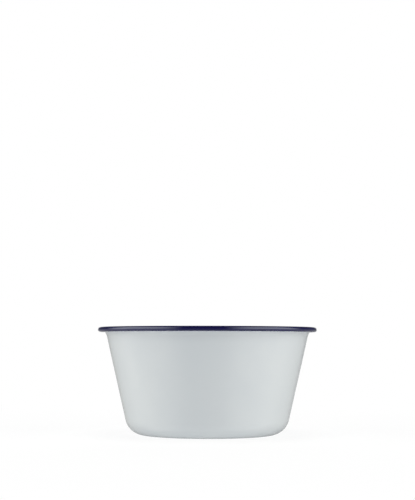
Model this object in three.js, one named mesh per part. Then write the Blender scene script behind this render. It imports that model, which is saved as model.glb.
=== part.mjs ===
// Enamelled steel salad bowl: one deep-drawn steel shell with an outward rolled rim,
// under fused coats of glass enamel, white on both faces and blue over the rolled bead.
// Millimetres, +Z up. The origin is the middle of the plane that the bowl stands on.
import * as THREE from "three";

// Sizes over the finished enamel
const RIM_DIAMETER = 240; // across the rolled bead
const HEIGHT = 118; // standing ring to the top of the bead
const BASE_FLAT_RADIUS = 69.2; // from the axis to where the corner starts to rise
const CORNER_RADIUS = 21; // outside, where the base turns up into the wall
const BEAD_DIAMETER = 5.4; // section of the rolled bead
const FLARE_RADIUS = 15.6; // inside face, where the wall turns out towards the bead
const ROLL_START = 30; // degrees before the crown, where the flare tightens into the bead
const STANDING_RING_WIDTH = 9; // flat ring at the edge of the base
const BASE_RISE = 1; // how far the middle of the base is dished up inside that ring
const BLUE_RUN = 0.6; // how far the blue runs down the flare from the start of the roll

// Thicknesses and clearances
const STEEL_SHEET = 0.8;
const GROUND_COAT = 0.1; // the dark first coat, which bonds glass to steel
const COVER_COAT = 0.2; // the coloured second coat
const LAYER_GAP = 0.02; // keeps neighbouring layers from sharing a face
const LIP_CLEARANCE = 0.5; // from the end of the roll to the coat under the flare

// Facets
const SIDES = 40;
const DISH_STEPS = 2;
const CORNER_STEPS = 5;
const FLARE_STEPS = 3;
const ROLL_STEPS = 1; // from the start of the roll up to the crown
const CURL_STEPS = 3; // to each quarter turn from the crown down to the lowest point
const LIP_STEPS = 2; // from there up to the lip

// How far each layer's faces lie from the middle of the sheet, on either side of it
const GROUND_NEAR = STEEL_SHEET / 2 + LAYER_GAP;
const GROUND_FAR = GROUND_NEAR + GROUND_COAT;
const COVER_NEAR = GROUND_FAR + LAYER_GAP;
const COVER_FAR = COVER_NEAR + COVER_COAT;

const { PI, acos, atan2, cos, sin } = Math;
const CROWN = PI / 2; // polar angle of the top of an arc in the section

// A section's points are (radius, height). A station is a point on the middle of the sheet
// with the unit normal that points out of the bowl's inside face.
function station(radius, height, normal) {
  return { point: new THREE.Vector2(radius, height), normal };
}

// Stations along an arc from its start to its end, the start left out. The inside face
// lies towards the arc's centre (facing -1) or away from it (facing 1).
function arc(centre, radius, start, end, steps, facing) {
  const stations = [];
  for (let i = 1; i <= steps; i += 1) {
    const angle = start + ((end - start) * i) / steps;
    const out = new THREE.Vector2(cos(angle), sin(angle));
    const point = centre.clone().addScaledVector(out, radius);
    stations.push(station(point.x, point.y, out.multiplyScalar(facing)));
  }
  return stations;
}

// One station at the given angle of an arc whose inside face lies away from its centre.
function arcPoint(centre, radius, angle) {
  return arc(centre, radius, angle, angle, 1, 1);
}

// The base: dished up in the middle, then a flat ring out to the corner.
function baseStations() {
  const up = new THREE.Vector2(0, 1);
  const dishRadius = BASE_FLAT_RADIUS - STANDING_RING_WIDTH;
  const stations = [];
  for (let i = 0; i <= DISH_STEPS; i += 1) {
    const share = i / DISH_STEPS;
    const rise = BASE_RISE * (1 - share * share) ** 2;
    stations.push(station(dishRadius * share, COVER_FAR + rise, up));
  }
  stations.push(station(BASE_FLAT_RADIUS, COVER_FAR, up));
  return stations;
}

// The sheet from the axis to the lip of its roll, as the stretches that the coats cover.
function sheetStations() {
  const cornerRadius = CORNER_RADIUS - COVER_FAR;
  const flareRadius = FLARE_RADIUS - COVER_FAR;
  const beadRadius = BEAD_DIAMETER / 2;
  const curlRadius = beadRadius - COVER_FAR;

  // The flare and the curl touch where the roll starts, so their centres are in line with it.
  const rollStart = CROWN + THREE.MathUtils.degToRad(ROLL_START);
  const toRollStart = new THREE.Vector2(cos(rollStart), sin(rollStart));
  const drop = flareRadius - curlRadius;
  const cornerCentre = new THREE.Vector2(BASE_FLAT_RADIUS, CORNER_RADIUS);
  const curlCentre = new THREE.Vector2(RIM_DIAMETER / 2 - beadRadius, HEIGHT - beadRadius);
  const flareCentre = curlCentre.clone().addScaledVector(toRollStart, -drop);

  // The wall is the straight line that touches the corner's arc and the flare's arc,
  // so its lean follows from the other sizes.
  const across = flareCentre.clone().sub(cornerCentre);
  const lean = acos((cornerRadius + flareRadius) / across.length()) - atan2(across.y, across.x);

  // The roll closes until its coated lip is the clearance away from the coat under the flare.
  const reach = flareRadius - COVER_FAR - LIP_CLEARANCE;
  const lipCosine = (reach ** 2 - beadRadius ** 2 - drop ** 2) / (2 * beadRadius * drop);
  const lip = rollStart + acos(lipCosine) - 2 * PI;

  const wallEnd = PI - lean;
  const blueEdge = rollStart + BLUE_RUN / FLARE_RADIUS;
  const white = [
    ...baseStations(),
    ...arc(cornerCentre, cornerRadius, -CROWN, -lean, CORNER_STEPS, -1),
    ...arcPoint(flareCentre, flareRadius, wallEnd),
    ...arc(flareCentre, flareRadius, wallEnd, blueEdge, FLARE_STEPS, 1),
  ];
  const bead = [
    ...arcPoint(curlCentre, curlRadius, rollStart),
    ...arc(curlCentre, curlRadius, rollStart, CROWN, ROLL_STEPS, 1),
    ...arc(curlCentre, curlRadius, CROWN, 0, CURL_STEPS, 1),
    ...arc(curlCentre, curlRadius, 0, -CROWN, CURL_STEPS, 1),
    ...arc(curlCentre, curlRadius, -CROWN, lip, LIP_STEPS, 1),
  ];
  // The blue starts a layer gap past the line where the white ends.
  const blueStart = arcPoint(flareCentre, flareRadius, blueEdge - LAYER_GAP / flareRadius);
  return { whole: [...white, ...bead], white, blue: [...blueStart, ...bead] };
}

// One layer as a solid of revolution, between two distances from the middle of the sheet,
// positive towards the inside of the bowl.
function layerGeometry(stations, low, high) {
  const face = (distance) =>
    stations.map(({ point, normal }) => point.clone().addScaledVector(normal, distance));
  const outline = [...face(low), ...face(high).reverse()];
  if (outline[0].x > 0) {
    outline.push(outline[0].clone());
  }
  return new THREE.LatheGeometry(outline, SIDES).rotateX(PI / 2);
}

const steel = new THREE.MeshStandardMaterial({ color: 0x85888b, roughness: 0.45, metalness: 1 });
const groundCoat = new THREE.MeshStandardMaterial({ color: 0x1a2030, roughness: 0.25, metalness: 0 });
const whiteEnamel = new THREE.MeshStandardMaterial({ color: 0xe4e9ea, roughness: 0.12, metalness: 0 });
const blueEnamel = new THREE.MeshStandardMaterial({ color: 0x1b1a5a, roughness: 0.1, metalness: 0 });

const bowl = new THREE.Group();

function addLayer(name, stations, low, high, material) {
  const mesh = new THREE.Mesh(layerGeometry(stations, low, high), material.clone());
  mesh.name = name;
  bowl.add(mesh);
}

const { whole, white, blue } = sheetStations();
addLayer("steel_shell", whole, -STEEL_SHEET / 2, STEEL_SHEET / 2, steel);
addLayer("inner_ground_coat", whole, GROUND_NEAR, GROUND_FAR, groundCoat);
addLayer("outer_ground_coat", white, -GROUND_FAR, -GROUND_NEAR, groundCoat);
addLayer("inner_white_enamel", white, COVER_NEAR, COVER_FAR, whiteEnamel);
addLayer("outer_white_enamel", white, -COVER_FAR, -COVER_NEAR, whiteEnamel);
addLayer("blue_rim_enamel", blue, COVER_NEAR, COVER_FAR, blueEnamel);

export default bowl;
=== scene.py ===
# %% [markdown]
# # An enamelled steel salad bowl
#
# The bowl is one sheet of steel, pressed deep and rolled over at the edge, with glass melted onto it.
# A dark ground coat bonds to the steel, a white cover coat goes over it inside and out, and the rolled
# bead at the rim is dipped in blue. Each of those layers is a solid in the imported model. The solids have
# the right shape, but their facets show, so each layer gets a fine mesh and a finish of its own here.

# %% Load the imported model
import math

import bpy
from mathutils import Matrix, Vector


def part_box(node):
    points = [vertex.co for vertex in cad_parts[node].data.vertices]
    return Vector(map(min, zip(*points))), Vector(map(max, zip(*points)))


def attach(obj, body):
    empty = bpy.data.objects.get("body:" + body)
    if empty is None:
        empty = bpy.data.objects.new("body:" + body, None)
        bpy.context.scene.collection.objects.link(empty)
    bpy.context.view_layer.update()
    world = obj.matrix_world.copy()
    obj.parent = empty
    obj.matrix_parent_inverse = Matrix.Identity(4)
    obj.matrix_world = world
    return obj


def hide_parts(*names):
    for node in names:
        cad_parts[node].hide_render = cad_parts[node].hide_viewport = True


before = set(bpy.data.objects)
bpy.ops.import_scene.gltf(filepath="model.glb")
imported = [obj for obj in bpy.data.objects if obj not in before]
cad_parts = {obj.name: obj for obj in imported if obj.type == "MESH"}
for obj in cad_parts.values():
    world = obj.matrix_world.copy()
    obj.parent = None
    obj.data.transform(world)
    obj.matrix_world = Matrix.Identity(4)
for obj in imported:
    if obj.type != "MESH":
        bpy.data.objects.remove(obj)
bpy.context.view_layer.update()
print("nodes:", sorted(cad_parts))

# %% [markdown]
# ## Sizes
#
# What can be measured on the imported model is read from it: the rim's radius, the height and the bead.
# The rest are the sizes that a press maker would write on the drawing of the section. The radius of an
# arc is hard to measure on a mesh with facets, so those are written here. They are in millimetres times
# MM, because every object here is in metres.

# %% Sizes of the section
MM = 0.001

rim_low, rim_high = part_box("blue_rim_enamel")
RIM_RADIUS = rim_high[0]
HEIGHT = rim_high[2]
BEAD_RADIUS = (rim_high[2] - rim_low[2]) / 2

BASE_FLAT_RADIUS = 69.2 * MM  # from the axis to where the corner starts to rise
STANDING_RING_WIDTH = 9 * MM
BASE_RISE = 1 * MM
CORNER_RADIUS = 21 * MM
FLARE_RADIUS = 15.6 * MM
ROLL_BEFORE_CROWN = 30  # degrees before the top of the bead, where the flare tightens into the curl
BLUE_RUN = 0.6 * MM  # how far the blue runs down the flare

STEEL_SHEET = 0.8 * MM
GROUND_COAT = 0.1 * MM
COVER_COAT = 0.2 * MM
LAYER_GAP = 0.02 * MM
LIP_CLEARANCE = 0.5 * MM

# How far the outer faces of the coats lie from the middle of the sheet, on either side of it.
GROUND_FAR = STEEL_SHEET / 2 + LAYER_GAP + GROUND_COAT
COVER_FAR = GROUND_FAR + LAYER_GAP + COVER_COAT
print(f"rim {RIM_RADIUS / MM:.1f} mm, height {HEIGHT / MM:.1f} mm, wall {2 * COVER_FAR / MM:.2f} mm")

# %% [markdown]
# ## The section of the sheet
#
# A pressing is a body of revolution, so its whole shape is in one section. That section is three arcs
# and a straight wall: the corner above the base, the flare that turns the wall outwards, and the curl
# of the bead. It could be a long list of points, but centres and angles keep the arcs true. The flare
# runs into the curl without a kink, so the two centres are in line with the point where the roll starts.
# The wall touches the corner and the flare, which fixes its lean. The curl stops just short of the
# underside of the flare.

# %% Centres and angles of the section
def point_on(centre, radius, angle):
    """A point in the plane of the section, at an angle about a centre."""
    return centre + radius * Vector((math.cos(angle), 0, math.sin(angle)))


ROLL_START = math.radians(90 + ROLL_BEFORE_CROWN)
drop = FLARE_RADIUS - BEAD_RADIUS
corner_centre = Vector((BASE_FLAT_RADIUS, 0, CORNER_RADIUS))
curl_centre = Vector((RIM_RADIUS - BEAD_RADIUS, 0, HEIGHT - BEAD_RADIUS))
flare_centre = point_on(curl_centre, -drop, ROLL_START)

across = flare_centre - corner_centre
sheet_radii = CORNER_RADIUS + FLARE_RADIUS - 2 * COVER_FAR
LEAN = math.acos(sheet_radii / across.length) - math.atan2(across.z, across.x)

reach = FLARE_RADIUS - 2 * COVER_FAR - LIP_CLEARANCE
lip_cosine = (reach**2 - BEAD_RADIUS**2 - drop**2) / (2 * BEAD_RADIUS * drop)
CURL_TURN = math.tau - math.acos(lip_cosine)
BLUE_EDGE = ROLL_START + BLUE_RUN / FLARE_RADIUS
print(f"wall leans {math.degrees(LEAN):.2f} degrees, curl turns {math.degrees(CURL_TURN):.1f} degrees")

# %% [markdown]
# ## Drawing with one vertex
#
# Blender has no sketcher, but a single vertex works as a pen: extruding it draws a line, and spinning it
# about a centre draws a true arc. A plane merged at its middle gives that vertex. A curve object could
# draw the section too, but arcs made with its handles are only nearly round. A layer's face keeps the
# centres of the sheet, so a face that lies further in or out only changes the radius of its arcs.

# %% Pen tools
def pen_down(name, tip):
    """Starts a new mesh as one vertex at the tip, in edit mode."""
    bpy.ops.object.select_all(action="DESELECT")
    bpy.ops.mesh.primitive_plane_add(size=MM)
    piece = bpy.context.object
    piece.name = name
    piece.data.name = name
    bpy.ops.object.mode_set(mode="EDIT")
    bpy.ops.mesh.merge(type="CENTER")
    bpy.ops.transform.translate(value=tip)
    return piece


def line_to(tip, target):
    """Pulls the pen straight to the target and returns the new tip."""
    bpy.ops.mesh.extrude_region_move(TRANSFORM_OT_translate={"value": target - tip})
    return target


def arc_about(tip, centre, turn, steps):
    """Swings the pen about a centre in the section's plane and returns the new tip."""
    bpy.ops.mesh.spin(steps=steps, angle=turn, center=centre, axis=(0, 1, 0))
    arm = tip - centre
    return point_on(centre, arm.length, math.atan2(arm.z, arm.x) + turn)


print("the pen can draw a line and an arc")

# %% [markdown]
# ## Two stretches of the section
#
# The white coats run from the axis to the edge of the blue. The base is dished up by a millimetre, so the
# bowl stands on a flat ring and doesn't rock. The bead runs from the edge of the blue, over the crown and
# round the curl to the lip. The steel and the inner ground coat have both stretches, so each stretch is
# a function and a layer draws the ones that it needs.

# %% Draw the body of the bowl
DISH_STEPS = 12
CORNER_STEPS = 20
FLARE_STEPS = 16
CORNER_TURN = math.pi / 2 - LEAN
FLARE_TURN = BLUE_EDGE + LEAN - math.pi


def base_point(share, depth):
    """A point of the dished middle of the base, from the axis (0) to the standing ring (1)."""
    ring = BASE_FLAT_RADIUS - STANDING_RING_WIDTH
    rise = BASE_RISE * (1 - share**2) ** 2
    return Vector((ring * share, 0, COVER_FAR + depth + rise))


def draw_body(name, depth):
    """Draws base, corner, wall and flare at a depth from the middle of the sheet, inwards positive."""
    tip = base_point(0, depth)
    piece = pen_down(name, tip)
    for step in range(1, DISH_STEPS + 1):
        tip = line_to(tip, base_point(step / DISH_STEPS, depth))
    tip = line_to(tip, Vector((BASE_FLAT_RADIUS, 0, COVER_FAR + depth)))
    tip = arc_about(tip, corner_centre, CORNER_TURN, CORNER_STEPS)
    tip = line_to(tip, point_on(flare_centre, FLARE_RADIUS - COVER_FAR + depth, math.pi - LEAN))
    tip = arc_about(tip, flare_centre, FLARE_TURN, FLARE_STEPS)
    return piece, tip


print(f"a step of the corner is {CORNER_RADIUS * CORNER_TURN / CORNER_STEPS / MM:.2f} mm long")

# %% Draw the bead
BLUE_STEPS = 2
CURL_STEPS = 36


def draw_bead(tip):
    """Draws on from the edge of the blue, over the crown and round the curl."""
    arm = tip - flare_centre
    tip = arc_about(tip, flare_centre, ROLL_START - math.atan2(arm.z, arm.x), BLUE_STEPS)
    arc_about(tip, curl_centre, -CURL_TURN, CURL_STEPS)


print(f"a step of the curl is {BEAD_RADIUS * CURL_TURN / CURL_STEPS / MM:.2f} mm long")

# %% [markdown]
# ## From section to solid
#
# Spinning the section once round the axis gives a single skin. A Screw modifier would do the same, but
# the spin leaves a plain mesh to work on. Its last step lies on its first and all steps share the axis,
# so doubles are merged before the normals are put right. Only then does Solidify give the skin its
# thickness, away from the face that was drawn.

# %% Spin and thicken a layer
TURN_STEPS = 256
MERGE_DISTANCE = LAYER_GAP / 4
SMOOTH_ANGLE = math.radians(40)


def spin_to_solid(piece, thickness, faces_in):
    """Spins the drawn section into a layer whose drawn face looks into the bowl, or out of it."""
    bpy.ops.mesh.select_all(action="SELECT")
    bpy.ops.mesh.spin(steps=TURN_STEPS, angle=math.tau, center=(0, 0, 0), axis=(0, 0, 1))
    bpy.ops.mesh.select_all(action="SELECT")
    bpy.ops.mesh.remove_doubles(threshold=MERGE_DISTANCE)
    bpy.ops.mesh.normals_make_consistent(inside=False)
    bpy.ops.object.mode_set(mode="OBJECT")
    # A face that is low and far out, in the bowl's corner or under the bead, shows how normals point.
    low_face = max(piece.data.polygons, key=lambda face: face.center.xy.length - face.center.z)
    looks_out = low_face.normal.xy.dot(low_face.center.xy) > 0
    if looks_out == faces_in:
        bpy.ops.object.mode_set(mode="EDIT")
        bpy.ops.mesh.flip_normals()
        bpy.ops.object.mode_set(mode="OBJECT")
    wall = piece.modifiers.new("coat", "SOLIDIFY")
    wall.thickness = thickness
    wall.offset = -1
    wall.use_even_offset = True
    bpy.ops.object.modifier_apply(modifier=wall.name)
    bpy.ops.object.shade_smooth_by_angle(angle=SMOOTH_ANGLE)


print(f"a step round the rim is {math.tau * RIM_RADIUS / TURN_STEPS / MM:.1f} mm long")

# %% [markdown]
# ## The pressed steel
#
# A disc of sheet is pressed over a tool and its edge is rolled outwards into a hollow bead. The sheet is
# under glass everywhere but inside the roll, so it hardly shows and could be left out. It still gets its
# full shape, because the coats follow it and a cut through the bowl would show it. Each layer takes the
# place of its node in the frame and rides on the one body that there is.

# %% Steel shell
def place(piece, node):
    """Gives the layer its node's place in the frame and prints what was made."""
    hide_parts(node)
    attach(piece, "root")
    print(f"{piece.name}: {len(piece.data.polygons)} faces, {piece.dimensions.z / MM:.1f} mm high")


steel_shell, tip = draw_body("pressed_steel_shell", STEEL_SHEET / 2)
draw_bead(tip)
spin_to_solid(steel_shell, STEEL_SHEET, faces_in=True)
place(steel_shell, "steel_shell")

# %% [markdown]
# ## The ground coats
#
# The ground coat carries cobalt, which helps the glass to grip the steel and makes the coat nearly black.
# Inside it runs over the bead to the lip. Outside it ends in the mouth of the roll. A dark edge painted
# on the white would do for one view, but a coat of its own is right where the layers end.

# %% Ground coats
inner_ground, tip = draw_body("dark_ground_coat_inside", GROUND_FAR)
draw_bead(tip)
spin_to_solid(inner_ground, GROUND_COAT, faces_in=True)
place(inner_ground, "inner_ground_coat")

outer_ground, _ = draw_body("dark_ground_coat_outside", -GROUND_FAR)
spin_to_solid(outer_ground, GROUND_COAT, faces_in=False)
place(outer_ground, "outer_ground_coat")

# %% [markdown]
# ## The white cover coats
#
# These are most of what the eye sees: the floor, the wall and the flare inside, and the base, the corner
# and the wall outside. They are two thin layers and not one thick one, because the steel is between them.

# %% White coats
inner_white, _ = draw_body("white_enamel_inside", COVER_FAR)
spin_to_solid(inner_white, COVER_COAT, faces_in=True)
place(inner_white, "inner_white_enamel")

outer_white, _ = draw_body("white_enamel_outside", -COVER_FAR)
spin_to_solid(outer_white, COVER_COAT, faces_in=False)
place(outer_white, "outer_white_enamel")

# %% [markdown]
# ## The blue rim
#
# The blue coat starts a hair past the end of the white and covers the whole bead, so the bowl has a dark
# line from every side. It could be a mask in the white's material, but as a mesh of its own it keeps a
# crisp edge however near the camera comes.

# %% Blue coat on the bead
tip = point_on(flare_centre, FLARE_RADIUS, BLUE_EDGE - LAYER_GAP / FLARE_RADIUS)
blue_rim = pen_down("blue_enamel_rim", tip)
draw_bead(tip)
spin_to_solid(blue_rim, COVER_COAT, faces_in=False)
place(blue_rim, "blue_rim_enamel")

# %% [markdown]
# ## Finishes
#
# A finish is a small graph of nodes. A photo of real enamel could be wrapped round the bowl, but nodes
# have no seam and no limit of detail. One function adds any node with its settings and its links, and one
# turns the sRGB colours that a paint chart would give into the linear values that the shader needs.

# %% Node tools
# A Mix node has sockets for several kinds of data, so those for colour go by number.
COLOUR_A = 6
COLOUR_B = 7
MIXED_COLOUR = 2


def linear(hex_code):
    """sRGB hex colour to linear RGBA."""
    channels = [int(hex_code[i : i + 2], 16) / 255 for i in (1, 3, 5)]
    return [c / 12.92 if c <= 0.04045 else ((c + 0.055) / 1.055) ** 2.4 for c in channels] + [1]


def add(tree, kind, inputs=None, **settings):
    """Adds a node. Each input is a value, or an output socket of another node to link from."""
    made = tree.nodes.new(kind)
    for key, value in settings.items():
        setattr(made, key, value)
    for key, value in (inputs or {}).items():
        if isinstance(value, bpy.types.NodeSocket):
            tree.links.new(value, made.inputs[key])
        else:
            made.inputs[key].default_value = value
    return made


def finish_for(name, *pieces):
    """A new empty material on the pieces. Returns its node tree and its output node."""
    material = bpy.data.materials.new(name)
    material.use_nodes = True
    material.node_tree.nodes.clear()
    for piece in pieces:
        piece.data.materials.clear()
        piece.data.materials.append(material)
    return material.node_tree, material.node_tree.nodes.new("ShaderNodeOutputMaterial")


def per_size(size):
    """Texture scale that gives a pattern of this size, on object coordinates in metres."""
    return 1 / size


print("mid grey #808080 is", round(linear("#808080")[0], 3), "in linear light")

# %% [markdown]
# ### White vitreous enamel
#
# Opaque white glass, sprayed or dipped as a slip and melted at about 800 degrees. The white is a little
# uneven in thickness, so its tone drifts by a percent or two, which keeps a wide wall from looking like
# plastic. Beside the rim the white turns lavender. Part of that is the blue bleeding into it in the
# firing,
# and part is a painted highlight: the pale line that light draws along the flare and under the bead. A
# soft noise and a ramp by height give these, because neither has a sharp edge on the real bowl.

# %% White enamel: colour
WHITE_THIN = "#DEE3E6"
WHITE_FULL = "#E6EAEB"
# The lavender white by the rim is partly the blue's bleed and partly a painted highlight beside the bead.
BLUE_BLEED_AND_PAINTED_SHEEN = "#E3E6F4"
MOTTLE_SIZE = 40 * MM
BLEED_AND_SHEEN_START = HEIGHT - 1.8 * MM
BLEED_AND_SHEEN_END = HEIGHT - 0.4 * MM
BLEED_AND_SHEEN_MOST = 0.8

tree, output = finish_for("white_vitreous_enamel", inner_white, outer_white)
place_in_bowl = add(tree, "ShaderNodeTexCoord").outputs["Object"]
mottle = add(
    tree,
    "ShaderNodeTexNoise",
    {"Vector": place_in_bowl, "Scale": per_size(MOTTLE_SIZE), "Detail": 3.0},
)
tone = add(
    tree,
    "ShaderNodeMix",
    {"Factor": mottle.outputs["Fac"], COLOUR_A: linear(WHITE_THIN), COLOUR_B: linear(WHITE_FULL)},
    data_type="RGBA",
)
height = add(tree, "ShaderNodeSeparateXYZ", {"Vector": place_in_bowl}).outputs["Z"]
# Ramp by height towards the lavender white: partly the blue's bleed, partly a painted highlight by the
# rim.
bleed_and_sheen = add(
    tree,
    "ShaderNodeMapRange",
    {"Value": height, "From Min": BLEED_AND_SHEEN_START, "From Max": BLEED_AND_SHEEN_END, "To Max": BLEED_AND_SHEEN_MOST},
    interpolation_type="SMOOTHSTEP",
)
colour = add(
    tree,
    "ShaderNodeMix",
    {
        "Factor": bleed_and_sheen.outputs["Result"],
        COLOUR_A: tone.outputs[MIXED_COLOUR],
        COLOUR_B: linear(BLUE_BLEED_AND_PAINTED_SHEEN),
    },
    data_type="RGBA",
)
print("white enamel: tone drifts over", round(MOTTLE_SIZE / MM), "mm")

# %% [markdown]
# The surface is glossy, but the melt leaves a faint orange peel and long soft waves. They show only where
# something is mirrored: the edges of the lamps look soft and a little wavy in the wall. Both are bumps
# and no mesh, because they are less than a tenth of a millimetre deep.

# %% White enamel: surface
WAVE_SIZE = 35 * MM
WAVE_DEPTH = 0.06 * MM
PEEL_SIZE = 5 * MM  # about 2 mm on real enamel, drawn coarser so that it shows
PEEL_DEPTH = 0.006 * MM
SMOOTHEST_WHITE = 0.05
ROUGHEST_WHITE = 0.09

waves = add(
    tree,
    "ShaderNodeTexNoise",
    {"Vector": place_in_bowl, "Scale": per_size(WAVE_SIZE), "Detail": 0.0},
)
peel = add(
    tree,
    "ShaderNodeTexNoise",
    {"Vector": place_in_bowl, "Scale": per_size(PEEL_SIZE), "Detail": 1.0},
)
long_bump = add(
    tree,
    "ShaderNodeBump",
    {"Strength": 1.0, "Distance": WAVE_DEPTH, "Height": waves.outputs["Fac"]},
)
fine_bump = add(
    tree,
    "ShaderNodeBump",
    {
        "Strength": 1.0,
        "Distance": PEEL_DEPTH,
        "Height": peel.outputs["Fac"],
        "Normal": long_bump.outputs["Normal"],
    },
)
gloss = add(
    tree,
    "ShaderNodeMapRange",
    {"Value": mottle.outputs["Fac"], "To Min": SMOOTHEST_WHITE, "To Max": ROUGHEST_WHITE},
)
shader = add(
    tree,
    "ShaderNodeBsdfPrincipled",
    {
        "Base Color": colour.outputs[MIXED_COLOUR],
        "Roughness": gloss.outputs["Result"],
        "IOR": 1.65,
        "Normal": fine_bump.outputs["Normal"],
    },
)
tree.links.new(shader.outputs["BSDF"], output.inputs["Surface"])
print("white enamel: waves", round(WAVE_SIZE / MM), "mm, orange peel", round(PEEL_SIZE / MM), "mm")

# %% [markdown]
# ### Blue vitreous enamel
#
# Cobalt glass, so dark that it looks black until the light catches it. It is laid on by running the edge
# through the slip, so at its own edge it thins out, pales and wanders by a fraction of a millimetre. The
# distance from the axis finds that edge, and a noise added to the distance makes it wander.

# %% Blue enamel: colour
BLUE_DEEP = "#0F0A42"
BLUE_FULL = "#150F4E"
BLUE_THIN = "#35358A"
DRIFT_SIZE = 25 * MM
EDGE_WANDER = 0.6 * MM
EDGE_FADE = 0.5 * MM
EDGE_RADIUS = point_on(flare_centre, FLARE_RADIUS, BLUE_EDGE).x

tree, output = finish_for("blue_vitreous_enamel", blue_rim)
place_in_bowl = add(tree, "ShaderNodeTexCoord").outputs["Object"]
drift = add(
    tree,
    "ShaderNodeTexNoise",
    {"Vector": place_in_bowl, "Scale": per_size(DRIFT_SIZE), "Detail": 2.0},
)
tone = add(
    tree,
    "ShaderNodeMix",
    {"Factor": drift.outputs["Fac"], COLOUR_A: linear(BLUE_DEEP), COLOUR_B: linear(BLUE_FULL)},
    data_type="RGBA",
)
flat = add(tree, "ShaderNodeVectorMath", {0: place_in_bowl, 1: (1, 1, 0)}, operation="MULTIPLY")
radius = add(tree, "ShaderNodeVectorMath", {0: flat.outputs["Vector"]}, operation="LENGTH")
from_axis = add(
    tree,
    "ShaderNodeMath",
    {0: drift.outputs["Fac"], 1: EDGE_WANDER, 2: radius.outputs["Value"]},
    operation="MULTIPLY_ADD",
)
thinness = add(
    tree,
    "ShaderNodeMapRange",
    {
        "Value": from_axis.outputs[0],
        "From Min": EDGE_RADIUS + EDGE_WANDER / 2,
        "From Max": EDGE_RADIUS + EDGE_WANDER / 2 + EDGE_FADE,
        "To Min": 1.0,
        "To Max": 0.0,
    },
    interpolation_type="SMOOTHSTEP",
)
colour = add(
    tree,
    "ShaderNodeMix",
    {
        "Factor": thinness.outputs["Result"],
        COLOUR_A: tone.outputs[MIXED_COLOUR],
        COLOUR_B: linear(BLUE_THIN),
    },
    data_type="RGBA",
)
print(f"blue enamel: edge {EDGE_RADIUS / MM:.1f} mm from the axis, pale over {EDGE_FADE / MM:.1f} mm")

# %% [markdown]
# What the eye takes from the blue is long streaks of light on a dark bead. Their brightness comes from
# the IOR, which starts from that of glass and is raised until they are as bright as on the real rim.

# %% Blue enamel: surface
DRIFT_DEPTH = 0.05 * MM

bump = add(
    tree,
    "ShaderNodeBump",
    {"Strength": 1.0, "Distance": DRIFT_DEPTH, "Height": drift.outputs["Fac"]},
)
shader = add(
    tree,
    "ShaderNodeBsdfPrincipled",
    {
        "Base Color": colour.outputs[MIXED_COLOUR],
        "Roughness": 0.09,
        "IOR": 2.05,
        "Specular Tint": linear("#E9F0FF"),
        "Normal": bump.outputs["Normal"],
    },
)
tree.links.new(shader.outputs["BSDF"], output.inputs["Surface"])
print("blue enamel:", len(tree.nodes), "nodes")

# %% [markdown]
# ### Ground coat
#
# A dark glass that is fired first, with small pits where gas left the steel. Only its edges show, in the
# mouth of the roll, where the pits keep it from looking like a plain black line. One noise drives both
# the tone and the bump, so that the pits are the dark spots.

# %% Ground coat
GROUND_DARK = "#141A28"
GROUND_PALE = "#232B40"
PIT_SIZE = 1.5 * MM  # a few tenths on real enamel, drawn coarser so that they show
PIT_DEPTH = 0.02 * MM

tree, output = finish_for("dark_ground_coat_enamel", inner_ground, outer_ground)
place_in_bowl = add(tree, "ShaderNodeTexCoord").outputs["Object"]
pits = add(
    tree,
    "ShaderNodeTexNoise",
    {"Vector": place_in_bowl, "Scale": per_size(PIT_SIZE), "Detail": 2.0},
)
colour = add(
    tree,
    "ShaderNodeMix",
    {"Factor": pits.outputs["Fac"], COLOUR_A: linear(GROUND_DARK), COLOUR_B: linear(GROUND_PALE)},
    data_type="RGBA",
)
bump = add(
    tree,
    "ShaderNodeBump",
    {"Strength": 0.6, "Distance": PIT_DEPTH, "Height": pits.outputs["Fac"]},
)
shader = add(
    tree,
    "ShaderNodeBsdfPrincipled",
    {
        "Base Color": colour.outputs[MIXED_COLOUR],
        "Roughness": 0.25,
        "IOR": 1.6,
        "Normal": bump.outputs["Normal"],
    },
)
tree.links.new(shader.outputs["BSDF"], output.inputs["Surface"])
print("ground coat: pits", PIT_SIZE / MM, "mm")

# %% [markdown]
# ### Deep-drawn steel
#
# Mild steel sheet, dull from the press, with streaks where it was drawn over the tool. They run up the
# wall, so a noise is stretched along the height. They vary the tone and the dullness alike, which gives
# the eye the satin lines of bare pressed steel.

# %% Drawn steel
STEEL_DARK = "#6E7174"
STEEL_PALE = "#8C8F92"
STREAK_WIDTH = 0.8 * MM  # about 0.2 mm on real sheet, drawn coarser so that they show
STREAK_LENGTH = 20 * MM
SMOOTHEST_STEEL = 0.35
DULLEST_STEEL = 0.55

tree, output = finish_for("deep_drawn_steel", steel_shell)
place_in_bowl = add(tree, "ShaderNodeTexCoord").outputs["Object"]
along = add(
    tree,
    "ShaderNodeMapping",
    {"Vector": place_in_bowl, "Scale": (1, 1, STREAK_WIDTH / STREAK_LENGTH)},
)
streaks = add(
    tree,
    "ShaderNodeTexNoise",
    {"Vector": along.outputs["Vector"], "Scale": per_size(STREAK_WIDTH), "Detail": 2.0},
)
colour = add(
    tree,
    "ShaderNodeMix",
    {"Factor": streaks.outputs["Fac"], COLOUR_A: linear(STEEL_DARK), COLOUR_B: linear(STEEL_PALE)},
    data_type="RGBA",
)
dullness = add(
    tree,
    "ShaderNodeMapRange",
    {"Value": streaks.outputs["Fac"], "To Min": SMOOTHEST_STEEL, "To Max": DULLEST_STEEL},
)
shader = add(
    tree,
    "ShaderNodeBsdfPrincipled",
    {
        "Base Color": colour.outputs[MIXED_COLOUR],
        "Metallic": 1.0,
        "Roughness": dullness.outputs["Result"],
    },
)
tree.links.new(shader.outputs["BSDF"], output.inputs["Surface"])
print("steel: streaks", STREAK_WIDTH / MM, "by", STREAK_LENGTH / MM, "mm")

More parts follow.
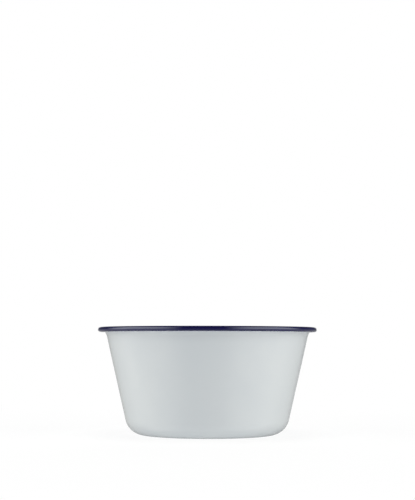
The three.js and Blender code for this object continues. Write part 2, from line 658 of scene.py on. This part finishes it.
# %% [markdown]
# ## Floor
#
# A wide pale floor takes the bowl's soft shadow. The wall leans out, so it mirrors the floor more than
# the room. The floor is a grey card, because a white bowl on a white floor loses its edge. More light
# could make it white, but it would burn out the bowl too. The Light Path node tells who looks at the
# floor, so it can be one thing for the camera and another for the enamel that mirrors it.

# %% Floor plane
FLOOR_SIZE = 12.0


def ray_kinds(tree):
    """Two sockets, one that is 1 for rays from the camera and one that is 1 for mirrored rays."""
    light_path = add(tree, "ShaderNodeLightPath")
    mirrored = add(
        tree,
        "ShaderNodeMath",
        {0: light_path.outputs["Is Glossy Ray"], 1: light_path.outputs["Is Transmission Ray"]},
        operation="MAXIMUM",
    )
    return light_path.outputs["Is Camera Ray"], mirrored.outputs[0]


bpy.ops.object.select_all(action="DESELECT")
bpy.ops.mesh.primitive_plane_add(size=FLOOR_SIZE)
floor = bpy.context.object
floor.name = "pale_floor"
# The boxes shine from below the floor too, and a bounce in the room stands in for the floor's own.
floor.visible_shadow = False
floor.visible_diffuse = False
print("floor:", FLOOR_SIZE, "m wide")

# %% [markdown]
# For the camera the card is lifted by a glow until it is white where it is lit, so only the shadow is
# left of it, and further away it is plain white. The enamel mirrors a share of that glow, a larger one
# behind the bowl. Like a glass shelf, the floor also lets the enamel mirror a little of what is below
# it, so the soft boxes reach down to the foot of the wall.

# %% Floor card
FLOOR_GREY = "#7A7A7A"
FLOOR_LIFT = 0.85
LIFT_SHARE_IN_FRONT = 0.04
LIFT_SHARE_BEHIND = 0.3
SHARE_STARTS = -0.1  # metres behind the bowl's axis, and below 0 in front of it
SHARE_ENDS = 0.05

tree, output = finish_for("pale_floor", floor)
from_camera, mirrored = ray_kinds(tree)
on_floor = add(tree, "ShaderNodeTexCoord").outputs["Object"]
depth = add(tree, "ShaderNodeSeparateXYZ", {"Vector": on_floor}).outputs["Y"]
mirrored_share = add(
    tree,
    "ShaderNodeMapRange",
    {
        "Value": depth,
        "From Min": SHARE_STARTS,
        "From Max": SHARE_ENDS,
        "To Min": LIFT_SHARE_IN_FRONT,
        "To Max": LIFT_SHARE_BEHIND,
    },
    interpolation_type="SMOOTHSTEP",
)
looked_at = add(
    tree,
    "ShaderNodeMath",
    {0: mirrored, 1: mirrored_share.outputs["Result"], 2: from_camera},
    operation="MULTIPLY_ADD",
)
lift = add(tree, "ShaderNodeMath", {0: looked_at.outputs[0], 1: FLOOR_LIFT}, operation="MULTIPLY")
card = add(tree, "ShaderNodeBsdfDiffuse", {"Color": linear(FLOOR_GREY)})
glow = add(tree, "ShaderNodeEmission", {"Color": (1, 1, 1, 1), "Strength": lift.outputs[0]})
near = add(tree, "ShaderNodeAddShader", {0: card.outputs[0], 1: glow.outputs[0]})
print("floor card", FLOOR_GREY, "lifted by", FLOOR_LIFT, "for the camera")

# %% Floor far away and seen through
WHITE_STARTS = 0.2  # metres from the bowl's axis
WHITE_ENDS = 0.7
FLOOR_CLEARNESS = 0.25

away = add(tree, "ShaderNodeVectorMath", {0: on_floor}, operation="LENGTH")
far_share = add(
    tree,
    "ShaderNodeMapRange",
    {"Value": away.outputs["Value"], "From Min": WHITE_STARTS, "From Max": WHITE_ENDS},
    interpolation_type="SMOOTHSTEP",
)
white_share = add(
    tree,
    "ShaderNodeMath",
    {0: from_camera, 1: far_share.outputs["Result"]},
    operation="MULTIPLY",
)
white = add(tree, "ShaderNodeEmission", {"Color": (1, 1, 1, 1), "Strength": 1.0})
opaque = add(
    tree,
    "ShaderNodeMixShader",
    {0: white_share.outputs[0], 1: near.outputs[0], 2: white.outputs[0]},
)
see_through = add(tree, "ShaderNodeMath", {0: mirrored, 1: FLOOR_CLEARNESS}, operation="MULTIPLY")
clear = add(tree, "ShaderNodeBsdfTransparent")
surface = add(
    tree,
    "ShaderNodeMixShader",
    {0: see_through.outputs[0], 1: opaque.outputs[0], 2: clear.outputs[0]},
)
tree.links.new(surface.outputs[0], output.inputs["Surface"])
print("floor: plain white for the camera beyond", WHITE_ENDS, "m")

# %% [markdown]
# ## Room
#
# The room round the bowl is dim, a little lighter behind it, with a soft bounce from straight below. A
# world of one grey would do for a dull thing, but enamel mirrors whatever is there. The camera sees the
# room as white. The enamel mirrors white only straight behind the bowl, where a backdrop would stand.

# %% World
ROOM_COLOUR = "#E2EAF2"
ROOM_IN_FRONT = 0.05
ROOM_BEHIND = 0.11
ROOM_CHANGE = 0.4  # the level changes where the direction's Y is less than this from the middle
BOUNCE_LEVEL = 0.42
BOUNCE_FULL = -0.95  # the direction's Z
BOUNCE_ENDS = -0.6

world = bpy.data.worlds.new("studio")
bpy.context.scene.world = world
world.use_nodes = True
tree = world.node_tree
tree.nodes.clear()
towards = add(tree, "ShaderNodeTexCoord").outputs["Generated"]
direction = add(tree, "ShaderNodeSeparateXYZ", {"Vector": towards})
room_level = add(
    tree,
    "ShaderNodeMapRange",
    {
        "Value": direction.outputs["Y"],
        "From Min": -ROOM_CHANGE,
        "From Max": ROOM_CHANGE,
        "To Min": ROOM_IN_FRONT,
        "To Max": ROOM_BEHIND,
    },
    interpolation_type="SMOOTHSTEP",
)
bounce = add(
    tree,
    "ShaderNodeMapRange",
    {
        "Value": direction.outputs["Z"],
        "From Min": BOUNCE_FULL,
        "From Max": BOUNCE_ENDS,
        "To Min": BOUNCE_LEVEL,
        "To Max": 0.0,
    },
)
level = add(
    tree,
    "ShaderNodeMath",
    {0: room_level.outputs["Result"], 1: bounce.outputs["Result"]},
    operation="ADD",
)
room = add(tree, "ShaderNodeBackground", {"Color": linear(ROOM_COLOUR), "Strength": level.outputs[0]})
print("room: level", ROOM_IN_FRONT, "in front,", ROOM_BEHIND, "behind,", BOUNCE_LEVEL, "more below")

# %% White for the camera, backdrop for the enamel
BACKDROP_EDGE = 0.94  # the direction's Y
BACKDROP_FULL = 0.985

from_camera, mirrored = ray_kinds(tree)
backdrop = add(
    tree,
    "ShaderNodeMapRange",
    {"Value": direction.outputs["Y"], "From Min": BACKDROP_EDGE, "From Max": BACKDROP_FULL},
)
mirrored_backdrop = add(
    tree,
    "ShaderNodeMath",
    {0: mirrored, 1: backdrop.outputs["Result"]},
    operation="MULTIPLY",
)
seen = add(
    tree,
    "ShaderNodeMath",
    {0: mirrored_backdrop.outputs[0], 1: from_camera},
    operation="MAXIMUM",
)
white = add(tree, "ShaderNodeBackground", {"Color": (1, 1, 1, 1), "Strength": 1.0})
sky = add(tree, "ShaderNodeMixShader", {0: seen.outputs[0], 1: room.outputs[0], 2: white.outputs[0]})
add(tree, "ShaderNodeOutputWorld", {"Surface": sky.outputs[0]})
print(f"backdrop: {2 * math.degrees(math.acos(BACKDROP_EDGE)):.0f} degrees across")

# %% [markdown]
# ## Soft boxes
#
# A soft box is a lamp behind a white cloth, brighter in the middle than at its edges. An area lamp is
# even all over, so its mirror image would have hard edges. Here its nodes make it fade towards them, by
# the place on the lamp that the Geometry node calls Parametric. The level is given as the brightness of
# the cloth, so a box can change its size and look as bright as before.

# %% A soft box
BOX_DISTANCE = 1.1
BOX_BOTTOM = -1.9  # below the floor, which the enamel partly sees through
BOX_TOP = 1.6
EVEN_WIDTH = 0.25  # share of the box that is evenly bright
EVEN_HEIGHT = 0.7
PLAIN_WHITE = "#FFFFFF"


def soft_cloth(tree):
    """A glow that is 1 in the middle of a lamp and fades to nothing at its edges."""
    on_box = add(tree, "ShaderNodeNewGeometry").outputs["Parametric"]
    from_middle = add(tree, "ShaderNodeVectorMath", {0: on_box, 1: (0.5, 0.5, 0)}, operation="SUBTRACT")
    apart = add(tree, "ShaderNodeVectorMath", {0: from_middle.outputs[0]}, operation="ABSOLUTE")
    spot = add(tree, "ShaderNodeSeparateXYZ", {"Vector": apart.outputs[0]})
    fades = []
    for axis, even_part in (("X", EVEN_WIDTH), ("Y", EVEN_HEIGHT)):
        fade = add(
            tree,
            "ShaderNodeMapRange",
            {
                "Value": spot.outputs[axis],
                "From Min": even_part / 2,
                "From Max": 0.5,
                "To Min": 1.0,
                "To Max": 0.0,
            },
            interpolation_type="SMOOTHSTEP",
        )
        fades.append(fade.outputs["Result"])
    level = add(tree, "ShaderNodeMath", {0: fades[0], 1: fades[1]}, operation="MULTIPLY")
    glow = add(tree, "ShaderNodeEmission", {"Strength": level.outputs[0]})
    add(tree, "ShaderNodeOutputLight", {"Surface": glow.outputs[0]})


def soft_box(name, azimuth, half_angle, radiance, tint=PLAIN_WHITE):
    """A soft box that faces the bowl, its azimuth counted from the camera's side, right positive."""
    lamp = bpy.data.lights.new(name, "AREA")
    lamp.shape = "RECTANGLE"
    lamp.size = 2 * BOX_DISTANCE * math.tan(math.radians(half_angle))
    lamp.size_y = BOX_TOP - BOX_BOTTOM
    lamp.energy = radiance * math.pi * lamp.size * lamp.size_y
    lamp.color = linear(tint)[:3]
    lamp.use_nodes = True
    lamp.node_tree.nodes.clear()
    soft_cloth(lamp.node_tree)
    box = bpy.data.objects.new(name, lamp)
    bpy.context.collection.objects.link(box)
    turn = math.radians(azimuth)
    middle = (BOX_TOP + BOX_BOTTOM) / 2
    box.location = (BOX_DISTANCE * math.sin(turn), -BOX_DISTANCE * math.cos(turn), middle)
    box.rotation_euler = (math.pi / 2, 0, turn)
    print(f"{name}: {lamp.size:.2f} m wide, {lamp.energy:.1f} W")
    return box


print(f"a soft box is {BOX_TOP - BOX_BOTTOM:.1f} m tall")

# %% [markdown]
# The bowl stands between two boxes, and the camera's side stays dim. That is why the middle of the wall
# is the greyest part, and why the bead is nearly black there with a pale streak on either side. The two
# aren't placed evenly: the right one is narrower and nearer to the camera. They are a touch warm, and a
# weak cool fill at the front lights the middle of the wall. A fill behind lights the bowl's far side.

# %% Four soft boxes
WARM_WHITE = "#FFFEFA"
COOL_WHITE = "#E9F2FF"

soft_box("soft_box_left", azimuth=-75, half_angle=52, radiance=1.44, tint=WARM_WHITE)
soft_box("soft_box_right", azimuth=65, half_angle=49, radiance=1.5, tint=WARM_WHITE)
behind_box = soft_box("fill_box_behind", azimuth=180, half_angle=24, radiance=1.9)
front_box = soft_box("fill_box_front", azimuth=0, half_angle=24, radiance=0.58, tint=COOL_WHITE)

# %% [markdown]
# ## Lamps over the bowl
#
# A deep bowl is dark inside, so a round lamp straight above fills it. Two larger ones high at its left
# and right are mirrored as two light arcs in the round corner inside. In a studio a black card keeps a
# lamp off a part of the set. Light linking does that here: the two high lamps reach only the inside
# coat, so the outside wall keeps the tones that the boxes give it.

# %% Three round lamps
LAMP_DISTANCE = 1.3


def round_lamp(name, azimuth, elevation, size, radiance):
    """A round lamp that faces the middle of the bowl's base, its azimuth counted as a soft box's is."""
    lamp = bpy.data.lights.new(name, "AREA")
    lamp.shape = "DISK"
    lamp.size = size
    lamp.energy = radiance * math.pi * math.pi * size**2 / 4
    hung = bpy.data.objects.new(name, lamp)
    bpy.context.collection.objects.link(hung)
    turn = math.radians(azimuth)
    tilt = math.radians(90 - elevation)
    hung.location = LAMP_DISTANCE * Vector(
        (math.sin(tilt) * math.sin(turn), -math.sin(tilt) * math.cos(turn), math.cos(tilt))
    )
    hung.rotation_euler = (tilt, 0, turn)
    print(f"{name}: {lamp.energy:.1f} W")
    return hung


above = round_lamp("fill_lamp_above", azimuth=0, elevation=90, size=0.7, radiance=3.6)
high_left = round_lamp("side_lamp_high_left", azimuth=-90, elevation=50, size=1.0, radiance=1.25)
high_right = round_lamp("side_lamp_high_right", azimuth=90, elevation=50, size=1.0, radiance=1.15)

# %% [markdown]
# The fills are there for their light alone. A real one would be mirrored as a bright patch, so these are
# hidden from mirrored rays, and no lamp but the two boxes can come into the picture.

# %% What each lamp reaches
inside_only = bpy.data.collections.new("inside_only")
inside_only.objects.link(inner_white)
for lamp in (high_left, high_right):
    lamp.visible_camera = False
    lamp.light_linking.receiver_collection = inside_only
for lamp in (behind_box, front_box, above):
    lamp.visible_camera = False
    lamp.visible_glossy = False
print("lamps for the inside only:", high_left.name, high_right.name)

# %% [markdown]
# ## Camera
#
# The side view was taken level, a little below the rim and about a metre and a half away. The bowl sits
# low in the picture. Tilting the camera up would do that too, but it would make the wall's lines lean,
# so the lens is shifted. The focal length follows from the width of the rim in the picture.

# %% Camera
PICTURE_WIDTH = 415
PICTURE_HEIGHT = 500
SENSOR = 36.0
CAMERA_DISTANCE = 1.5
EYE_HEIGHT = 98.5 * MM
RIM_PIXELS = 218.4
AXIS_COLUMN = 207.33
HORIZON_ROW = 344.95
ROLL = -0.1  # degrees

camera = bpy.data.cameras.new("camera")
camera.sensor_width = SENSOR
pixels_per_metre = RIM_PIXELS / (2 * RIM_RADIUS)
camera.lens = pixels_per_metre * CAMERA_DISTANCE * SENSOR / PICTURE_HEIGHT
camera.shift_x = (PICTURE_WIDTH / 2 - AXIS_COLUMN) / PICTURE_HEIGHT
camera.shift_y = (HORIZON_ROW - PICTURE_HEIGHT / 2) / PICTURE_HEIGHT
eye = bpy.data.objects.new("camera", camera)
bpy.context.collection.objects.link(eye)
eye.location = (0, -CAMERA_DISTANCE, EYE_HEIGHT)
eye.rotation_euler = (math.pi / 2, math.radians(ROLL), 0)
bpy.context.scene.camera = eye
bpy.context.scene.view_settings.view_transform = "Standard"
print(f"lens {camera.lens:.1f} mm, shift {camera.shift_y:.3f}")
